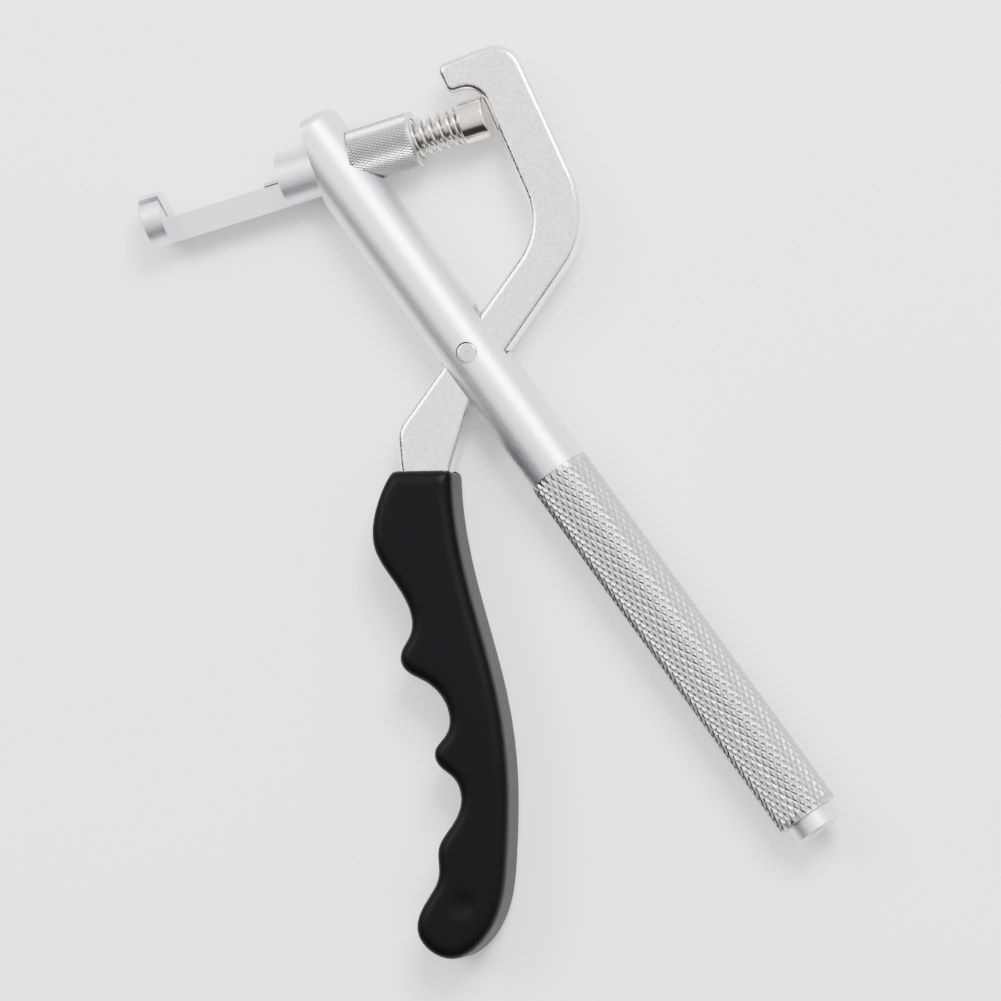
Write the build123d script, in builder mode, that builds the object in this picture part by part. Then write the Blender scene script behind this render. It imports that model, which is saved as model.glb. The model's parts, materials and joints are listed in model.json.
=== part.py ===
from build123d import *
from math import cos, radians, sin
import os

os.makedirs("parts", exist_ok=True)

# Bracelet pin pusher pliers. The tool lies flat: Z is the lever's pivot axis,
# X is the needle's axis, and the origin is the needle's tip at rest.
# The needle's tip points along -X. All sizes are in millimetres.

# ---- Needle and mandrel -------------------------------------------------
needle_diameter = 1.0
needle_reach = 4.0  # bare needle in the notch at rest
needle_shank_diameter = 2.0
needle_shank_length = 4.5
push_travel = 8.5

mandrel_diameter = 10.2
guide_length = 6.95  # full round stretch between the notch and the bar
guide_hole_length = 4.4
notch_length = 23.6  # room for a bracelet's width
notch_floor = 3.4  # depth of the notch's floor under the needle's axis
notch_turn = 48.0  # degrees, the notch's mouth turned from +Y towards +Z
end_wall = 4.1
pin_escape_width = 1.5  # slot in the end wall that a pushed pin leaves by
shank_diameter = 8.0
chamber_diameter = 6.2

# ---- Handle bar ----------------------------------------------------------
bar_diameter = 12.0
bar_lean = 69.5  # degrees, from +X down to the bar's axis
bar_top = 9.5  # bar past the cross rod's axis
bar_top_round = 2.3
left_flat = 3.45  # flats from the crossing of the two axes
right_flat = 3.7
spot_face_diameter = 11.2
pivot_distance = 44.7  # along the bar, from the cross rod to the pivot
knurl_start = 72.0
knurl_end = 150.7
knurl_root_diameter = 11.4

# ---- Knurled nut, which is the spring's barrel ----------------------------
nut_diameter = 10.6
nut_knurl_root_diameter = 10.1
nut_length = 12.5
nut_thread_length = 4.4
nut_lip = 1.0
nut_rim = 0.4

# ---- Plunger, spring and push head ----------------------------------------
piston_length = 4.9
stem_diameter = 4.4
spigot_diameter = 3.5
spigot_length = 3.5
push_head_diameter = 8.0
push_head_length = 5.0
spring_diameter = 7.5
spring_wire = 0.7
spring_length = 16.1

# ---- Lever and grip --------------------------------------------------------
lever_thickness = 5.0
lever_edge = 1.5
lever_squeeze = 11.4  # degrees that press the plunger home
pivot_pin_diameter = 4.0
pivot_pin_recess = 0.35
pivot_mouth = 0.45
grip_thickness = 13.0
grip_edge = 2.0

# ---- End cap and spare needles ----------------------------------------------
end_cap_diameter = 9.4
end_cap_length = 3.5
end_cap_plug_diameter = 6.0
end_cap_plug_length = 8.0
spare_needle_count = 3
spare_needle_circle = 3.5

# ---- Clearances ---------------------------------------------------------------
needle_clearance = 0.075  # radial, needle in its guide hole
piston_clearance = 0.1  # radial, piston in chamber and stem in lip
thread_clearance = 0.05  # radial, turning screw threads
pin_clearance = 0.05  # radial, pivot pin in the bar and the lever
spring_clearance = 0.2  # radial, spring in its barrel
slot_clearance = 0.1  # each side of the lever in the bar's slot
face_gap = 0.1  # faces that turn against each other
slot_end_gap = 0.2  # slot past the lever's edges at the ends of its swing

# ---- Places on the needle's axis, from the needle's tip --------------------------
guide_face = needle_reach
notch_wall = guide_face - notch_length
mandrel_end = notch_wall - end_wall
chamber_start = guide_face + guide_hole_length
shoulder = guide_face + guide_length
head_centre = shoulder + left_flat
spot_face = head_centre + right_flat
nut_start = spot_face + face_gap
nut_end = nut_start + nut_length
lip_start = nut_start + nut_thread_length
lip_end = lip_start + nut_lip
shank_end = lip_start - 2 * face_gap
piston_end = lip_start - face_gap
piston_start = piston_end - piston_length
push_head_start = lip_end + spring_length
push_face = push_head_start + push_head_length

# ---- Directions and planes ---------------------------------------------------------
bar_along = Vector(cos(radians(bar_lean)), -sin(radians(bar_lean)), 0)
bar_across = Vector(sin(radians(bar_lean)), cos(radians(bar_lean)), 0)
bar_plane = Plane(origin=(head_centre, 0, 0), x_dir=bar_across, z_dir=bar_along)
pivot = Vector(head_centre, 0, 0) + bar_along * pivot_distance
notch_up = Vector(0, cos(radians(notch_turn)), sin(radians(notch_turn)))


def rod_plane(x):
    """Plane across the needle's axis, its normal along +X and its own x along +Y."""
    return Plane(origin=(x, 0, 0), x_dir=(0, 1, 0), z_dir=(1, 0, 0))


def notch_plane(x):
    """Plane across the needle's axis, its normal along -X and its own x out of the notch."""
    return Plane(origin=(x, 0, 0), x_dir=notch_up, z_dir=(-1, 0, 0))


def half_profile(steps):
    """Half outline of a turned piece on the needle's axis, from (x, radius) steps."""
    first_x = steps[0][0]
    last_x = steps[-1][0]
    Polyline((first_x, 0), *steps, (last_x, 0), close=True)


# ---- Lever's outline ------------------------------------------------------------------
# The hook is placed from the push head and the arm from the pivot, so both fit
# when either one moves. Each corner is (x, y, radius).
def from_push_face(x, y, radius):
    return (push_face + x, y, radius)


def from_pivot(x, y, radius):
    return (pivot.X + x, pivot.Y + y, radius)


left_corner = (-17.7, -9.6)  # above the grip
inner_bend = (18.7, 18.6)
outer_bend = (29.4, 16.65)
hollow = (-3.1, -9.3)  # under the arm
grip_line_left = (-19.1, -16.8)  # where the lever goes into the grip
grip_line_right = (-9.9, -19.5)

lever_corners = [
    from_push_face(-5.8, 5.7, 1.7),  # hook's tip, low
    from_push_face(0.15, 5.85, 3.8),  # top of the throat
    from_pivot(*inner_bend, 12.0),
    from_pivot(*left_corner, 5.0),
    from_pivot(*grip_line_left, 10.0),
    from_pivot(-20.9, -44.0, 30.0),  # tang inside the grip
    from_pivot(-20.0, -61.0, 30.0),
    from_pivot(-22.0, -79.0, 20.0),
    from_pivot(-26.5, -92.0, 2.0),
    from_pivot(-21.5, -92.0, 2.0),
    from_pivot(-16.6, -79.0, 20.0),
    from_pivot(-13.8, -61.0, 30.0),
    from_pivot(-13.6, -44.0, 30.0),
    from_pivot(-11.9, -26.0, 8.0),
    from_pivot(*grip_line_right, 10.0),
    from_pivot(*hollow, 6.0),
    from_pivot(*outer_bend, 18.0),
    from_push_face(8.7, 12.9, 6.0),  # top corner
    from_push_face(-6.8, 11.9, 1.9),  # hook's tip, high
]

# ---- Slot for the lever --------------------------------------------------------------
# The lever's arm crosses the bar at a slant that changes as it is squeezed, so the slot
# has slanted ends. On each side of the bar they reach past the arm's edges at both swings.
bar_radius = bar_diameter / 2
slot_half_width = lever_thickness / 2 + slot_clearance
slot_side = 2 * bar_radius  # how far across the bar the slot's cutter reaches


def edge_reach(start, finish, swing, side):
    """Along the bar from the pivot, where a lever edge crosses the bar's side after a swing."""
    ends = [Vector(*point, 0).rotate(Axis.Z, swing) for point in (start, finish)]
    across = [end.dot(bar_across) for end in ends]
    along = [end.dot(bar_along) for end in ends]
    share = (side * bar_radius - across[0]) / (across[1] - across[0])
    return along[0] + share * (along[1] - along[0])


def slot_end(edges, pick, gap):
    """Two corners of the slot's end, from the reach of the lever's edges at the bar's two sides."""
    reach = [
        gap + pick(edge_reach(*edge, swing, side) for edge in edges for swing in (0, lever_squeeze))
        for side in (-1, 1)
    ]
    slope = (reach[1] - reach[0]) / bar_diameter
    middle = (reach[0] + reach[1]) / 2
    return [
        pivot + bar_across * across + bar_along * (middle + slope * across)
        for across in (-slot_side, slot_side)
    ]


slot_top = slot_end([(left_corner, inner_bend)], min, -slot_end_gap)
slot_bottom = slot_end([(hollow, outer_bend), (hollow, grip_line_right)], max, slot_end_gap)

# ---- Handle bar --------------------------------------------------------------------------
storage_depth = end_cap_plug_length + 26.0
storage_diameter = end_cap_plug_diameter + 2 * thread_clearance

with BuildPart() as handle_bar:
    with BuildSketch(bar_plane.offset(-bar_top)):
        Circle(bar_radius)
    extrude(amount=bar_top + knurl_start)
    top_edge = handle_bar.faces().sort_by(Axis((0, 0, 0), bar_along))[0].edges()
    fillet(top_edge, bar_top_round)
    with BuildSketch(bar_plane.offset(knurl_start)):
        Circle(knurl_root_diameter / 2)
    extrude(amount=knurl_end - knurl_start)
    with BuildSketch(rod_plane(shoulder)):
        Rectangle(4 * bar_diameter, 2 * bar_diameter)
    extrude(amount=-2 * bar_diameter, mode=Mode.SUBTRACT)
    with BuildSketch(rod_plane(spot_face)):
        Circle(spot_face_diameter / 2)
        with Locations((bar_diameter, 0)):
            Rectangle(2 * bar_diameter, 2 * bar_diameter)
    extrude(amount=bar_diameter, mode=Mode.SUBTRACT)
    with BuildSketch(rod_plane(shoulder)):
        Circle(shank_diameter / 2 + thread_clearance)
    extrude(amount=left_flat + bar_diameter, mode=Mode.SUBTRACT)
    with BuildSketch(Plane.XY):
        with BuildLine():
            Polyline(*slot_top, *reversed(slot_bottom), close=True)
        make_face()
    extrude(amount=slot_half_width, both=True, mode=Mode.SUBTRACT)
    with BuildSketch(Plane.XY):
        with Locations((pivot.X, pivot.Y)):
            Circle(pivot_pin_diameter / 2 + pin_clearance)
    extrude(amount=bar_diameter, both=True, mode=Mode.SUBTRACT)
    with BuildSketch(bar_plane.offset(knurl_end)):
        Circle(storage_diameter / 2)
    extrude(amount=-storage_depth, mode=Mode.SUBTRACT)
handle_bar.part.label = "handle_bar"
export_step(handle_bar.part, "parts/handle_bar.step")

# ---- Pivot pin ------------------------------------------------------------------------------
pin_half_length = bar_radius - pivot_pin_recess

with BuildPart() as pivot_pin:
    with BuildSketch(Plane.XY):
        with Locations((pivot.X, pivot.Y)):
            Circle(pivot_pin_diameter / 2)
    extrude(amount=pin_half_length, both=True)
    fillet(pivot_pin.faces().filter_by(GeomType.PLANE).edges(), pivot_mouth)
pivot_pin.part.label = "pivot_pin"
export_step(pivot_pin.part, "parts/pivot_pin.step")

# ---- Mandrel -----------------------------------------------------------------------------------
mandrel_radius = mandrel_diameter / 2
shank_radius = shank_diameter / 2
chamber_radius = chamber_diameter / 2
guide_radius = needle_diameter / 2 + needle_clearance

with BuildPart() as mandrel:
    with BuildSketch(Plane.XY):
        with BuildLine():
            half_profile(
                [
                    (mandrel_end, mandrel_radius),
                    (shoulder, mandrel_radius),
                    (shoulder, shank_radius),
                    (shank_end, shank_radius),
                ]
            )
        make_face()
    revolve(axis=Axis.X)
    rims = mandrel.edges().filter_by(GeomType.CIRCLE).sort_by(Axis.X)
    chamfer([rims[0], rims[-1]], 0.4)
    with BuildSketch(rod_plane(chamber_start)):
        Circle(chamber_radius)
    extrude(amount=shank_end - chamber_start, mode=Mode.SUBTRACT)
    with BuildSketch(rod_plane(guide_face)):
        Circle(guide_radius)
    extrude(amount=guide_hole_length, mode=Mode.SUBTRACT)
    with BuildSketch(notch_plane(guide_face)):
        with Locations((mandrel_diameter / 2 - notch_floor, 0)):
            Rectangle(mandrel_diameter, 2 * mandrel_diameter)
    extrude(amount=notch_length, mode=Mode.SUBTRACT)
    with BuildSketch(notch_plane(notch_wall)):
        Circle(pin_escape_width / 2)
        with Locations((mandrel_diameter / 2, 0)):
            Rectangle(mandrel_diameter, pin_escape_width)
    extrude(amount=end_wall, mode=Mode.SUBTRACT)
mandrel.part.label = "mandrel"
export_step(mandrel.part, "parts/mandrel.step")

# ---- Knurled nut -------------------------------------------------------------------------------------
nut_bore_radius = shank_radius + thread_clearance
lip_radius = stem_diameter / 2 + piston_clearance
barrel_radius = spring_diameter / 2 + spring_clearance

with BuildPart() as knurled_nut:
    with BuildSketch(Plane.XY):
        with BuildLine():
            Polyline(
                (nut_start, nut_bore_radius),
                (nut_start, nut_knurl_root_diameter / 2),
                (nut_end - nut_rim, nut_knurl_root_diameter / 2),
                (nut_end - nut_rim, nut_diameter / 2),
                (nut_end, nut_diameter / 2),
                (nut_end, barrel_radius),
                (lip_end, barrel_radius),
                (lip_end, lip_radius),
                (lip_start, lip_radius),
                (lip_start, nut_bore_radius),
                close=True,
            )
        make_face()
    revolve(axis=Axis.X)
knurled_nut.part.label = "knurled_nut"
export_step(knurled_nut.part, "parts/knurled_nut.step")

# ---- Return spring, held here as the space its coils fill ------------------------------------------------
with BuildPart() as return_spring:
    with BuildSketch(rod_plane(lip_end)):
        Circle(spring_diameter / 2)
        Circle(spring_diameter / 2 - spring_wire, mode=Mode.SUBTRACT)
    extrude(amount=spring_length)
return_spring.part.label = "return_spring"
export_step(return_spring.part, "parts/return_spring.step")

# ---- Plunger rod ---------------------------------------------------------------------------------------------
piston_radius = chamber_radius - piston_clearance

with BuildPart() as plunger_rod:
    with BuildSketch(Plane.XY):
        with BuildLine():
            half_profile(
                [
                    (piston_start, piston_radius),
                    (piston_end, piston_radius),
                    (piston_end, stem_diameter / 2),
                    (push_head_start, stem_diameter / 2),
                    (push_head_start, spigot_diameter / 2),
                    (push_head_start + spigot_length, spigot_diameter / 2),
                ]
            )
        make_face()
    revolve(axis=Axis.X)
    with BuildSketch(rod_plane(piston_start)):
        Circle(needle_shank_diameter / 2)
    extrude(amount=needle_shank_length, mode=Mode.SUBTRACT)
plunger_rod.part.label = "plunger_rod"
export_step(plunger_rod.part, "parts/plunger_rod.step")

# ---- Push head -----------------------------------------------------------------------------------------------------
with BuildPart() as push_head:
    with BuildSketch(rod_plane(push_head_start)):
        Circle(push_head_diameter / 2)
    extrude(amount=push_head_length)
    fillet(push_head.edges().filter_by(GeomType.CIRCLE), 0.4)
    with BuildSketch(rod_plane(push_head_start)):
        Circle(spigot_diameter / 2)
    extrude(amount=spigot_length, mode=Mode.SUBTRACT)
push_head.part.label = "push_head"
export_step(push_head.part, "parts/push_head.step")


# ---- Needles -----------------------------------------------------------------------------------------------------------
def needle_profile(tip):
    """Half outline of a needle whose tip is at x = tip, its shank towards +X."""
    needle_radius = needle_diameter / 2
    tip_chamfer = needle_radius / 3
    half_profile(
        [
            (tip, needle_radius - tip_chamfer),
            (tip + tip_chamfer, needle_radius),
            (tip + piston_start, needle_radius),
            (tip + piston_start, needle_shank_diameter / 2),
            (tip + piston_start + needle_shank_length, needle_shank_diameter / 2),
        ]
    )


with BuildPart() as needle:
    with BuildSketch(Plane.XY):
        with BuildLine():
            needle_profile(0)
        make_face()
    revolve(axis=Axis.X)
needle.part.label = "needle"
export_step(needle.part, "parts/needle.step")

# The spares lie along the bar in its lower end, shanks towards the cap.
needle_length = piston_start + needle_shank_length
spare_tip = knurl_end - end_cap_plug_length - 1.5 - needle_length
for number in range(spare_needle_count):
    turn = radians(number * 360 / spare_needle_count)
    aside = spare_needle_circle / 2
    centre = bar_plane.offset(spare_tip).from_local_coords(
        Vector(aside * cos(turn), aside * sin(turn), 0)
    )
    with BuildPart() as spare_needle:
        with BuildSketch(Plane(origin=centre, x_dir=bar_along, z_dir=bar_across)):
            with BuildLine():
                needle_profile(0)
            make_face()
        revolve(axis=Axis(centre, bar_along))
    name = f"spare_needle_{number + 1}"
    spare_needle.part.label = name
    export_step(spare_needle.part, f"parts/{name}.step")

# ---- End cap ------------------------------------------------------------------------------------------------------------------
with BuildPart() as end_cap:
    with BuildSketch(bar_plane.offset(knurl_end + face_gap)):
        Circle(end_cap_diameter / 2)
    extrude(amount=end_cap_length)
    chamfer(end_cap.faces().sort_by(Axis((0, 0, 0), bar_along))[-1].edges(), 0.5)
    with BuildSketch(bar_plane.offset(knurl_end + face_gap)):
        Circle(end_cap_plug_diameter / 2)
    extrude(amount=-end_cap_plug_length)
end_cap.part.label = "end_cap"
export_step(end_cap.part, "parts/end_cap.step")

# ---- Lever --------------------------------------------------------------------------------------------------------------------------
with BuildPart() as lever:
    with BuildSketch(Plane.XY):
        with BuildLine():
            FilletPolyline(
                *[(x, y) for x, y, _ in lever_corners],
                radius=[radius for _, _, radius in lever_corners],
                close=True,
            )
        make_face()
    extrude(amount=lever_thickness / 2, both=True)
    fillet(lever.faces().filter_by(Axis.Z).edges(), lever_edge)
    with BuildSketch(Plane.XY):
        with Locations((pivot.X, pivot.Y)):
            Circle(pivot_pin_diameter / 2 + pin_clearance)
    extrude(amount=lever_thickness, both=True, mode=Mode.SUBTRACT)
lever.part.label = "lever"
export_step(lever.part, "parts/lever.step")

# ---- Grip, a dipped sleeve with finger hollows on its left side ---------------------------------------------------------------------------
grip_left = [
    (-19.9, -16.9),
    (-24.6, -22.3),
    (-27.2, -29.2),
    (-24.1, -41.0),
    (-24.9, -47.0),
    (-28.0, -50.5),
    (-28.0, -52.7),
    (-24.8, -56.2),
    (-21.9, -62.3),
    (-23.3, -66.6),
    (-26.6, -69.3),
    (-26.6, -71.6),
    (-24.2, -75.2),
    (-24.2, -79.6),
    (-27.6, -83.6),
    (-30.7, -86.6),
    (-31.9, -91.3),
    (-36.3, -96.0),
]
grip_bulb = [
    (-38.8, -100.5),
    (-34.4, -106.9),
    (-25.8, -104.4),
]
grip_right = [
    (-18.4, -91.5),
    (-14.5, -78.7),
    (-12.0, -62.0),
    (-11.8, -45.4),
    (-9.0, -19.9),
]

with BuildPart() as grip:
    with BuildSketch(Plane.XY):
        with BuildLine():
            edge = Spline(*[(pivot.X + x, pivot.Y + y) for x, y in grip_left + grip_bulb + grip_right])
            Line(edge @ 1, edge @ 0)
        make_face()
    extrude(amount=grip_thickness / 2, both=True)
    fillet(grip.faces().filter_by(Axis.Z).edges(), grip_edge)
    add(lever.part, mode=Mode.SUBTRACT)
grip.part.label = "grip"
export_step(grip.part, "parts/grip.step")
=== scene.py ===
# %% [markdown]
# This lesson builds a pair of bracelet pin pusher pliers, a watchmaker's hand tool. A
# lever with a soft grip drives a sprung needle along a notched rod, and the rod
# crosses a round, knurled handle bar.

# %% Load the frame
import json
from math import cos, pi, radians, sin

import bmesh
import bpy
from mathutils import Matrix, Vector


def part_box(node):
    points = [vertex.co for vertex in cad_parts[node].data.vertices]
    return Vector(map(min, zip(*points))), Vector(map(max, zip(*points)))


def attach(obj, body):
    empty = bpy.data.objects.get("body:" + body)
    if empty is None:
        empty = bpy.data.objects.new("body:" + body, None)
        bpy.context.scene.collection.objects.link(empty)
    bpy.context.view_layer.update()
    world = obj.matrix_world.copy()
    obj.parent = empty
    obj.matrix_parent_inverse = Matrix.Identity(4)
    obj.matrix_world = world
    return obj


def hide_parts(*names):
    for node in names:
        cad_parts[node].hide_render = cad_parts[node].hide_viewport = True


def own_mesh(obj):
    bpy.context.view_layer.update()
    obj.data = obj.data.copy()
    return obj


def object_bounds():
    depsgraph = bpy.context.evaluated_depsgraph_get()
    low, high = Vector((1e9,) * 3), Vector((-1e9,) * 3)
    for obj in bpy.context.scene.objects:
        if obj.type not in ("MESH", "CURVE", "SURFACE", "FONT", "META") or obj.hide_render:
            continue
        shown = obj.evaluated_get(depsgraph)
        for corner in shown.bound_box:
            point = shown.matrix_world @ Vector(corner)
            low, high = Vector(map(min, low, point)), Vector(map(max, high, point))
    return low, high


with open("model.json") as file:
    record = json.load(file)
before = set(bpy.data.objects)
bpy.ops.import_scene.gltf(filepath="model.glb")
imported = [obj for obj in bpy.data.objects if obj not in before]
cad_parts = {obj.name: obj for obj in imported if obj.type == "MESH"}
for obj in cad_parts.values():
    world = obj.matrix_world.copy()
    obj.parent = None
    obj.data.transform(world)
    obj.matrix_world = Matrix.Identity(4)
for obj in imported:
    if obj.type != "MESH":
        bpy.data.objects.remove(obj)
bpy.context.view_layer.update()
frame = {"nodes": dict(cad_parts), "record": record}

nodes = frame["nodes"]
print("solids:", ", ".join(sorted(nodes)))

# %% [markdown]
# Everything is in metres, but a tool this small is easier to read in millimetres, so one
# constant turns them. The handle bar leans away from the needle's axis. Its direction and
# its end come from the joint that the end cap turns on, so they can't drift from the solids.

# %% Directions and places
MM = 0.001
joints = {joint["name"]: joint for joint in frame["record"]["behaviour"]["joints"]}
bar_along = Vector(joints["cap_turn"]["axis"]).normalized()
bar_end = Vector(joints["cap_turn"]["pos_m"])
pivot = Vector(joints["lever_squeeze"]["pos_m"])
rod_along = Vector((1, 0, 0))
up = Vector((0, 0, 1))
print("bar runs along", tuple(round(value, 4) for value in bar_along))

# %% [markdown]
# An operator acts on all that is selected, and the frame arrives selected, so every step
# starts by deselecting everything. A piece is modelled upright at the origin, where its
# sizes are easy to read, and is then stood where it belongs and its transform applied.


# %% Helpers for modelling
def deselect_everything():
    if bpy.context.object and bpy.context.object.mode != "OBJECT":
        bpy.ops.object.mode_set(mode="OBJECT")
    bpy.ops.object.select_all(action="DESELECT")


def make_active(piece):
    deselect_everything()
    piece.select_set(True)
    bpy.context.view_layer.objects.active = piece


def stand(piece, foot, direction):
    """Puts a piece modelled up the Z axis with its foot there and its top that way."""
    make_active(piece)
    turn = up.rotation_difference(direction).to_matrix().to_4x4()
    piece.matrix_world = Matrix.Translation(foot) @ turn
    bpy.ops.object.transform_apply(location=True, rotation=True, scale=True)


def apply_modifier(piece, kind, **settings):
    make_active(piece)
    modifier = piece.modifiers.new(kind.lower(), kind)
    for setting, value in settings.items():
        setattr(modifier, setting, value)
    bpy.ops.object.modifier_apply(modifier=modifier.name)


def select_edges(piece, wanted):
    """In edit mode, selects only the edges for which wanted(edge) is true."""
    bpy.ops.mesh.select_mode(type="EDGE")
    bpy.ops.mesh.select_all(action="DESELECT")
    mesh = bmesh.from_edit_mesh(piece.data)
    for edge in mesh.edges:
        edge.select_set(wanted(edge))
    bmesh.update_edit_mesh(piece.data)


def select_faces(piece, wanted):
    """In edit mode, selects only the faces for which wanted(face) is true."""
    bpy.ops.mesh.select_mode(type="FACE")
    bpy.ops.mesh.select_all(action="DESELECT")
    mesh = bmesh.from_edit_mesh(piece.data)
    for face in mesh.faces:
        face.select_set(wanted(face))
    bmesh.update_edit_mesh(piece.data)


print("helpers ready")

# %% [markdown]
# Diamond knurling is rolled into round stock by two crossed wheels, and leaves rows of
# small flat-topped diamonds. A bump map would look flat at the bar's outline, so they are
# real. A grid of cells is poked, which gives each cell a centre. Once the grid's own edges
# are dissolved, every face that is left is a diamond between two corners and two centres,
# and insetting those with a depth raises them. The sleeve is closed by an inner wall.


# %% A knurled sleeve
def knurled_sleeve(name, root_radius, wall, length, around, rows, height, slope):
    pitch = length / rows
    deselect_everything()
    bpy.ops.mesh.primitive_circle_add(vertices=around, radius=root_radius)
    sleeve = bpy.context.object
    sleeve.name = name
    bpy.ops.object.mode_set(mode="EDIT")
    bpy.ops.mesh.select_all(action="SELECT")
    for _ in range(rows):
        bpy.ops.mesh.extrude_region_move(TRANSFORM_OT_translate={"value": (0, 0, pitch)})
    bpy.ops.mesh.select_all(action="SELECT")
    bpy.ops.mesh.normals_make_consistent(inside=False)
    chord_sag = root_radius * (1 - cos(pi / around))
    bpy.ops.mesh.poke(offset=chord_sag)

    def on_a_ring(vertex):
        return abs(vertex.co.z / pitch - round(vertex.co.z / pitch)) < 0.1

    def grid_edge(edge):
        return all(map(on_a_ring, edge.verts)) and len(edge.link_faces) == 2

    select_edges(sleeve, grid_edge)
    bpy.ops.mesh.dissolve_edges(use_verts=False)
    select_faces(sleeve, lambda face: len(face.verts) == 4)
    bpy.ops.mesh.inset(thickness=slope, depth=height, use_individual=True)
    select_edges(sleeve, lambda edge: len(edge.link_faces) == 1)
    inner = (root_radius - wall) / root_radius
    bpy.ops.mesh.extrude_region_move(TRANSFORM_OT_translate={"value": (0, 0, 0)})
    bpy.ops.transform.resize(value=(inner, inner, 1))
    bpy.ops.mesh.bridge_edge_loops()
    bpy.ops.mesh.select_all(action="SELECT")
    bpy.ops.mesh.normals_make_consistent(inside=False)
    bpy.ops.object.mode_set(mode="OBJECT")
    print(name, "has", len(sleeve.data.polygons), "faces")
    return sleeve


# %% [markdown]
# The bar's knurling runs from halfway down the bar to its end. The bar itself is turned
# down under it, so the sleeve's valleys lie just over the solid and its peaks come back
# to the bar's full 12 mm.

# %% Knurling on the handle bar
bar_radius = 6.0 * MM
bar_root_radius = 5.72 * MM
sleeve_wall = 0.12 * MM
knurl_reach = 78.7 * MM  # back from the bar's end to the first diamonds
knurl_end_gap = 0.03 * MM  # the sleeve stops just short of the bar's end
peak_gap = 0.01 * MM  # and its peaks just under the bar's radius
bar_knurl = knurled_sleeve(
    "bar_knurl",
    root_radius=bar_root_radius,
    wall=sleeve_wall,
    length=knurl_reach - knurl_end_gap,
    around=28,
    rows=33,
    height=bar_radius - bar_root_radius - peak_gap,
    slope=0.36 * MM,
)
stand(bar_knurl, bar_end - bar_along * knurl_reach, bar_along)
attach(bar_knurl, "bar")

# %% [markdown]
# The nut that holds the spring has a finer knurl, drawn out along its axis, and a plain
# rim at the spring's end.

# %% Knurling on the nut
nut_low, nut_high = (Vector(corner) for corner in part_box("knurled_nut"))
nut_rim = 0.4 * MM
nut_root_depth = 0.23 * MM
nut_radius = (nut_high.y - nut_low.y) / 2
nut_knurl = knurled_sleeve(
    "nut_knurl",
    root_radius=nut_radius - nut_root_depth,
    wall=sleeve_wall,
    length=nut_high.x - nut_low.x - nut_rim,
    around=56,
    rows=11,
    height=0.14 * MM,
    slope=0.16 * MM,
)
stand(nut_knurl, Vector((nut_low.x, 0, 0)), rod_along)
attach(nut_knurl, "nut")

# %% [markdown]
# The return spring is wound from round wire, with open coils between closed ends. Each
# stretch is a wire's round section swept by the Screw modifier through whole turns, so
# the stretches meet exactly and merge into one wire. The real spring gets shorter as the
# plunger goes in. Here it is built at the solid's length.


# %% The return spring
spring_low, spring_high = (Vector(corner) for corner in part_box("return_spring"))
wire_radius = 0.35 * MM
spring_radius = (spring_high.y - spring_low.y) / 2 - wire_radius
spring_length = spring_high.x - spring_low.x
closed_pitch = 0.74 * MM
start_turns = 1
end_turns = 1
open_turns = 8
steps_per_turn = 32
open_length = spring_length - 2 * wire_radius - (start_turns + end_turns) * closed_pitch


def coils(foot, turns, pitch):
    """A stretch of spring wire up the Z axis, from that height."""
    deselect_everything()
    bpy.ops.mesh.primitive_circle_add(
        vertices=10,
        radius=wire_radius,
        location=(spring_radius, 0, foot),
        rotation=(pi / 2, 0, 0),
    )
    stretch = bpy.context.object
    bpy.ops.object.transform_apply(location=True, rotation=True, scale=True)
    apply_modifier(
        stretch,
        "SCREW",
        angle=2 * pi,
        screw_offset=pitch,
        iterations=turns,
        steps=steps_per_turn,
        render_steps=steps_per_turn,
    )
    return stretch


open_start = wire_radius + start_turns * closed_pitch
stretches = [
    coils(wire_radius, start_turns, closed_pitch),
    coils(open_start, open_turns, open_length / open_turns),
    coils(open_start + open_length, end_turns, closed_pitch),
]
deselect_everything()
for stretch in stretches:
    stretch.select_set(True)
spring = stretches[0]
bpy.context.view_layer.objects.active = spring
bpy.ops.object.join()
spring.name = "spring_coils"
bpy.ops.object.mode_set(mode="EDIT")
bpy.ops.mesh.select_all(action="SELECT")
bpy.ops.mesh.remove_doubles(threshold=0.01 * MM)
for end_height in (wire_radius, spring_length - wire_radius):
    select_edges(
        spring,
        lambda edge: len(edge.link_faces) == 1
        and all(abs(vertex.co.z - end_height) < 1.01 * wire_radius for vertex in edge.verts),
    )
    bpy.ops.mesh.edge_face_add()
bpy.ops.mesh.select_all(action="SELECT")
bpy.ops.mesh.normals_make_consistent(inside=False)
bpy.ops.object.mode_set(mode="OBJECT")
bpy.ops.object.shade_smooth_by_angle(angle=radians(50))
stand(spring, Vector((spring_low.x, 0, 0)), rod_along)
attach(spring, "nut")
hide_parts("return_spring")
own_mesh(spring)
spring_turns = start_turns + open_turns + end_turns
print("spring of", spring_turns, "turns,", len(spring.data.polygons), "faces")

# %% [markdown]
# The grip is made by dipping the lever's hot tang in liquid vinyl, so nothing on it is
# sharp. The solid has the right outline but machined-looking edges. A copy of it is
# remeshed into small even faces and smoothed, which rounds the flanks and rolls the rim
# where the lever goes in, and keeps the flat faces flat.

# %% The dipped grip
grip_solid = nodes["grip"]
grip = bpy.data.objects.new("dipped_grip", grip_solid.data.copy())
bpy.context.scene.collection.objects.link(grip)
make_active(grip)
bpy.ops.object.mode_set(mode="EDIT")
bpy.ops.mesh.select_all(action="SELECT")
bpy.ops.mesh.remove_doubles(threshold=0.001 * MM)
bpy.ops.object.mode_set(mode="OBJECT")
remesh_size = 0.5 * MM
smooth_passes = 24
apply_modifier(grip, "REMESH", mode="VOXEL", voxel_size=remesh_size)
apply_modifier(grip, "SMOOTH", factor=0.5, iterations=smooth_passes)

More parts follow.
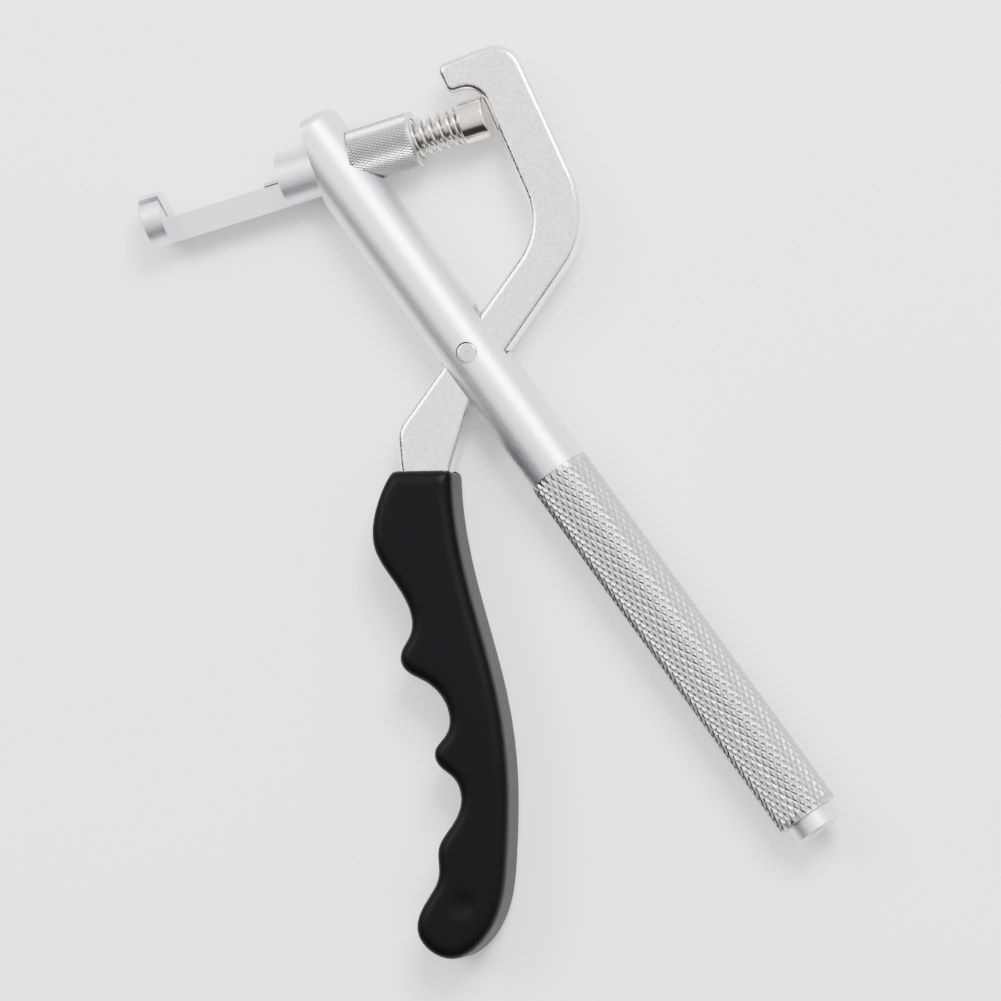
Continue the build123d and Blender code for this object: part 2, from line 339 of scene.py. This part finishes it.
# %% [markdown]
# The mould's support leaves a shallow dimple in the bulb at the grip's end. One vertex is
# pushed in with proportional editing, which carries its neighbours along smoothly.

# %% Dimple in the bulb
grip_top = max(vertex.co.z for vertex in grip.data.vertices)
bulb_from_pivot = Vector((-28.9, -98.1, 0)) * MM
dimple_place = pivot + bulb_from_pivot + up * grip_top
dimple_depth = 0.4 * MM
dimple_radius = 3.6 * MM
make_active(grip)
bpy.ops.object.mode_set(mode="EDIT")
bpy.ops.mesh.select_mode(type="VERT")
bpy.ops.mesh.select_all(action="DESELECT")
grip_mesh = bmesh.from_edit_mesh(grip.data)
nearest = min(grip_mesh.verts, key=lambda vertex: (vertex.co - dimple_place).length)
nearest.select_set(True)
bmesh.update_edit_mesh(grip.data)
bpy.ops.transform.translate(
    value=(0, 0, -dimple_depth),
    use_proportional_edit=True,
    use_proportional_connected=True,
    proportional_edit_falloff="SMOOTH",
    proportional_size=dimple_radius,
)
bpy.ops.object.mode_set(mode="OBJECT")
bpy.ops.object.shade_smooth()
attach(grip, "lever")
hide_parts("grip")
print("grip has", len(grip.data.polygons), "faces")

# %% [markdown]
# The pivot pin is turned, with a rolled edge and the mark of the lathe's centre in each
# end. The bevel reads as a dark ring round a bright face.

# %% The pivot pin
pin_low, pin_high = (Vector(corner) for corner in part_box("pivot_pin"))
pin_edge = 0.45 * MM
centre_mark = 0.3 * MM
centre_slope = 0.6 * centre_mark
pin_radius = (pin_high.x - pin_low.x) / 2
deselect_everything()
bpy.ops.mesh.primitive_cylinder_add(
    vertices=64,
    radius=pin_radius,
    depth=pin_high.z - pin_low.z,
    location=(pin_low + pin_high) / 2,
)
pin = bpy.context.object
pin.name = "turned_pin"
bpy.ops.object.transform_apply(location=True, rotation=True, scale=True)
apply_modifier(pin, "BEVEL", width=pin_edge, segments=5, limit_method="ANGLE")
bpy.ops.object.mode_set(mode="EDIT")
select_faces(pin, lambda face: abs(face.normal.z) > 0.999)
bpy.ops.mesh.inset(thickness=pin_radius - pin_edge - centre_mark, use_individual=True)
bpy.ops.mesh.inset(thickness=centre_slope, depth=-centre_slope, use_individual=True)
bpy.ops.object.mode_set(mode="OBJECT")
bpy.ops.object.shade_smooth_by_angle(angle=radians(30))
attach(pin, "bar")
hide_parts("pivot_pin")
print("pin", round(2 * pin_radius / MM, 2), "mm across")

# %% [markdown]
# Colours are written as the hex values that a colour picker shows, and shaders want them
# linear, so one function turns them. A second function adds a node, sets its sockets and
# links it, and every material is made with it.


# %% Helpers for materials
def hex_colour(code):
    channels = [int(code[start : start + 2], 16) / 255 for start in (1, 3, 5)]
    linear = [c / 12.92 if c <= 0.04045 else ((c + 0.055) / 1.055) ** 2.4 for c in channels]
    return (*linear, 1.0)


def add_node(tree, kind, sockets=None, links=None, **settings):
    """Adds a node, then sets its sockets by name or number and links them from others."""
    node = tree.nodes.new(kind)
    for setting, value in settings.items():
        setattr(node, setting, value)
    for socket, value in (sockets or {}).items():
        node.inputs[socket].default_value = value
    for socket, source in (links or {}).items():
        tree.links.new(source, node.inputs[socket])
    return node


def new_material(name, colour, metallic, roughness):
    material = bpy.data.materials.new(name)
    material.use_nodes = True
    shader = material.node_tree.nodes["Principled BSDF"]
    shader.inputs["Base Color"].default_value = hex_colour(colour)
    shader.inputs["Metallic"].default_value = metallic
    shader.inputs["Roughness"].default_value = roughness
    return material, material.node_tree, shader


def add_grain(tree, shader, grain_mm, strength, depth_mm, detail=2.0, stretch=(1, 1, 1)):
    """Grain of that width, as noise on Object coordinates, gives the surface a fine bump."""
    place = add_node(tree, "ShaderNodeTexCoord")
    scaled = add_node(
        tree, "ShaderNodeMapping", {"Scale": stretch}, {"Vector": place.outputs["Object"]}
    )
    noise = add_node(
        tree,
        "ShaderNodeTexNoise",
        {"Scale": 1 / (grain_mm * MM), "Detail": detail},
        {"Vector": scaled.outputs["Vector"]},
    )
    bump = add_node(
        tree,
        "ShaderNodeBump",
        {"Strength": strength, "Distance": depth_mm * MM},
        {"Height": noise.outputs["Fac"]},
    )
    tree.links.new(bump.outputs["Normal"], shader.inputs["Normal"])
    return noise


def vary_roughness(tree, shader, noise, low, high):
    spread = add_node(
        tree,
        "ShaderNodeMapRange",
        {"From Min": 0.3, "From Max": 0.7, "To Min": low, "To Max": high},
        {"Value": noise.outputs["Fac"]},
    )
    tree.links.new(spread.outputs["Result"], shader.inputs["Roughness"])


def blend_colours(tree, source, low, low_colour, high, high_colour):
    """A colour that goes from one to the other while the source goes from low to high."""
    ramp = add_node(tree, "ShaderNodeValToRGB", links={0: source})
    ends = zip(ramp.color_ramp.elements, (low, high), (low_colour, high_colour))
    for end, position, colour in ends:
        end.position = position
        end.color = hex_colour(colour)
    return ramp.outputs["Color"]


print("white is", hex_colour("#ffffff")[:3])

# %% [markdown]
# The bar, rod, nut and cap are aluminium, blasted with fine glass beads and clear anodised.
# The eye sees a pale, silky grey without sharp reflections. The bead marks are near 0.1 mm,
# too fine to show, so the grain is drawn at 0.35 mm.

# %% Satin anodised aluminium
satin_aluminium, tree, shader = new_material("satin_anodised_aluminium", "#d2d5da", 1.0, 0.4)
grain = add_grain(tree, shader, grain_mm=0.35, strength=0.6, depth_mm=0.03)
vary_roughness(tree, shader, grain, 0.36, 0.48)
print(satin_aluminium.name)

# %% [markdown]
# Rolled knurling is burnished by the wheels, so its peaks are glossier than the blasted bar.
# Its base colour is darker than the bar's. That is painted shade for the valleys between
# the diamonds, and it covers the peaks too.

# %% Knurled aluminium
knurled_aluminium_painted_shade, tree, shader = new_material("rolled_knurled_aluminium", "#a9a9aa", 1.0, 0.26)
grain = add_grain(tree, shader, grain_mm=0.3, strength=0.2, depth_mm=0.01)
vary_roughness(tree, shader, grain, 0.26, 0.36)
print(knurled_aluminium_painted_shade.name)

# %% [markdown]
# The lever is a steel stamping, tumbled and nickel plated. Its faces keep a fine mottle
# about half a millimetre across, slightly lighter and darker, that breaks up reflections,
# while its rounded edges stay bright.

# %% Plated lever steel
plated_lever, tree, shader = new_material("nickel_plated_stamping", "#ecebe8", 1.0, 0.18)
grain = add_grain(tree, shader, grain_mm=0.45, strength=0.5, depth_mm=0.04, detail=3.0)
vary_roughness(tree, shader, grain, 0.14, 0.24)
mottle = blend_colours(tree, grain.outputs["Fac"], 0.35, "#dddcda", 0.6, "#f8f7f5")
tree.links.new(mottle, shader.inputs["Base Color"])
print(plated_lever.name)

# %% [markdown]
# The push head and the pivot pin are turned, polished and plated, so they mirror the room
# in long streaks. Faint turning marks 0.2 mm apart run round them.

# %% Polished nickel
polished_nickel, tree, shader = new_material("polished_nickel_plate", "#ddd3cb", 1.0, 0.15)
add_grain(tree, shader, grain_mm=0.25, strength=0.04, depth_mm=0.01, stretch=(1, 0.1, 0.1))
print(polished_nickel.name)

# %% [markdown]
# The needles and the plunger are ground and hardened tool steel, a little darker than
# nickel, with fine marks around them.

# %% Ground steel
ground_steel, tree, shader = new_material("ground_tool_steel", "#b9b7b4", 1.0, 0.24)
add_grain(tree, shader, grain_mm=0.2, strength=0.1, depth_mm=0.01, stretch=(1, 0.1, 0.1))
print(ground_steel.name)

# %% [markdown]
# Spring wire is drawn, coiled and nickel plated. It is smooth, and shows sharp highlights
# on every coil.

# %% Plated spring wire
spring_wire, tree, shader = new_material("plated_spring_wire", "#d9d2c8", 1.0, 0.14)
add_grain(tree, shader, grain_mm=0.5, strength=0.05, depth_mm=0.01)
print(spring_wire.name)

# %% [markdown]
# Dipped vinyl sets with a semi-gloss skin. It is nearly black, its highlights are broad
# and soft, and a very slight unevenness keeps them from looking machined.

# %% Black vinyl
black_vinyl, tree, shader = new_material("dipped_black_vinyl", "#070708", 0.0, 0.42)
grain = add_grain(tree, shader, grain_mm=1.6, strength=0.1, depth_mm=0.06)
shader.inputs["IOR"].default_value = 1.5
shader.inputs["Specular IOR Level"].default_value = 0.06
print(black_vinyl.name)

# %% [markdown]
# Each solid and each new piece now gets the finish of the real part. Solids in one
# material slot of the record share a finish, but the lever is duller than the other
# nickel plated pieces.


# %% Give every piece its finish
def paint(piece, material):
    if not piece.material_slots:
        piece.data.materials.append(material)
    for material_slot in piece.material_slots:
        material_slot.material = material


finishes = {
    satin_aluminium: ["handle_bar", "mandrel", "knurled_nut", "end_cap"],
    plated_lever: ["lever"],
    polished_nickel: ["push_head", "pivot_pin"],
    ground_steel: ["plunger_rod", "needle", "spare_needle_1", "spare_needle_2", "spare_needle_3"],
    spring_wire: ["return_spring"],
    black_vinyl: ["grip"],
}
for material, names in finishes.items():
    for name in names:
        paint(nodes[name], material)
new_finishes = (
    (bar_knurl, knurled_aluminium_painted_shade),
    (nut_knurl, knurled_aluminium_painted_shade),
    (spring, spring_wire),
    (pin, polished_nickel),
    (grip, black_vinyl),
)
for piece, material in new_finishes:
    piece.data.materials.clear()
    paint(piece, material)
print("painted", sum(map(len, finishes.values())) + len(new_finishes), "pieces")

# %% [markdown]
# The tool lies on a plain white table. Its top lies just under the grip.

# %% The table
table_size = 3.0
table_gap = 0.05 * MM
table_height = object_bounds()[0][2] - table_gap
deselect_everything()
bpy.ops.mesh.primitive_plane_add(size=table_size, location=(0, 0, table_height))
table = bpy.context.object
table.name = "table"
white_table, tree, shader = new_material("matt_white_table", "#f4f4f4", 0.0, 0.9)
paint(table, white_table)
print("table at", round(table_height / MM, 2), "mm")

# %% [markdown]
# Bare metal shows whatever is around it. The room is a dome that is white over the tool
# and towards its upper right, and almost black low down at the lower left. Every round
# piece then gets a bright side and a dark side, which tell the eye that it is metal. Two
# softboxes light the table and cast soft shadows.

# %% Room and lights
world = bpy.data.worlds.new("studio")
world.use_nodes = True
bpy.context.scene.world = world
tree = world.node_tree
background = tree.nodes["Background"]
direction = add_node(tree, "ShaderNodeTexCoord")
dome_top = Vector((0.5, 0.45, 0.75)).normalized()
height = add_node(
    tree,
    "ShaderNodeVectorMath",
    {1: dome_top},
    {0: direction.outputs["Generated"]},
    operation="DOT_PRODUCT",
)
fade = blend_colours(tree, height.outputs["Value"], 0.08, "#2c2827", 0.62, "#ffffff")
room_strength = 2.2
tree.links.new(fade, background.inputs["Color"])
background.inputs["Strength"].default_value = room_strength

tool_middle = Vector((25.15, -68.53, 0)) * MM


def softbox(name, place, size, power):
    light = bpy.data.lights.new(name, "AREA")
    light.shape = "SQUARE"
    light.size = size
    light.energy = power
    holder = bpy.data.objects.new(name, light)
    holder.location = place
    holder.rotation_mode = "QUATERNION"
    holder.rotation_quaternion = (tool_middle - Vector(place)).to_track_quat("-Z", "Y")
    bpy.context.scene.collection.objects.link(holder)


softbox("key_softbox", (0.5, 0.4, 0.8), 0.4, 20)
softbox("fill_softbox", (-0.6, 0.5, 0.8), 0.6, 12)
print("two softboxes")

# %% [markdown]
# The camera is a long lens from a metre away, almost straight above the tool, and turned
# so that the handles point down to the right. Its direction is worked out from an azimuth,
# an elevation and a turn.

# %% The camera
view_azimuth = radians(67.73)
view_elevation = radians(77.18)
view_turn = radians(15.94)
view_distance = 1.0
view_lens = 191.47
sensor_width = 36.0
view_target = Vector((25.15, -68.53, -11.21)) * MM
back = Vector(
    (
        sin(view_azimuth) * cos(view_elevation),
        -cos(view_azimuth) * cos(view_elevation),
        sin(view_elevation),
    )
)
picture_up = Vector((sin(view_turn), cos(view_turn), 0))
picture_right = picture_up.cross(back).normalized()
picture_up = back.cross(picture_right)
camera_data = bpy.data.cameras.new("camera")
camera_data.lens = view_lens
camera_data.sensor_width = sensor_width
camera_data.clip_end = 10 * view_distance
camera = bpy.data.objects.new("camera", camera_data)
bpy.context.scene.collection.objects.link(camera)
facing = Matrix((picture_right, picture_up, back)).transposed().to_4x4()
camera.matrix_world = Matrix.Translation(view_target + back * view_distance) @ facing
bpy.context.scene.camera = camera
print("camera", tuple(round(value, 3) for value in camera.matrix_world.translation))
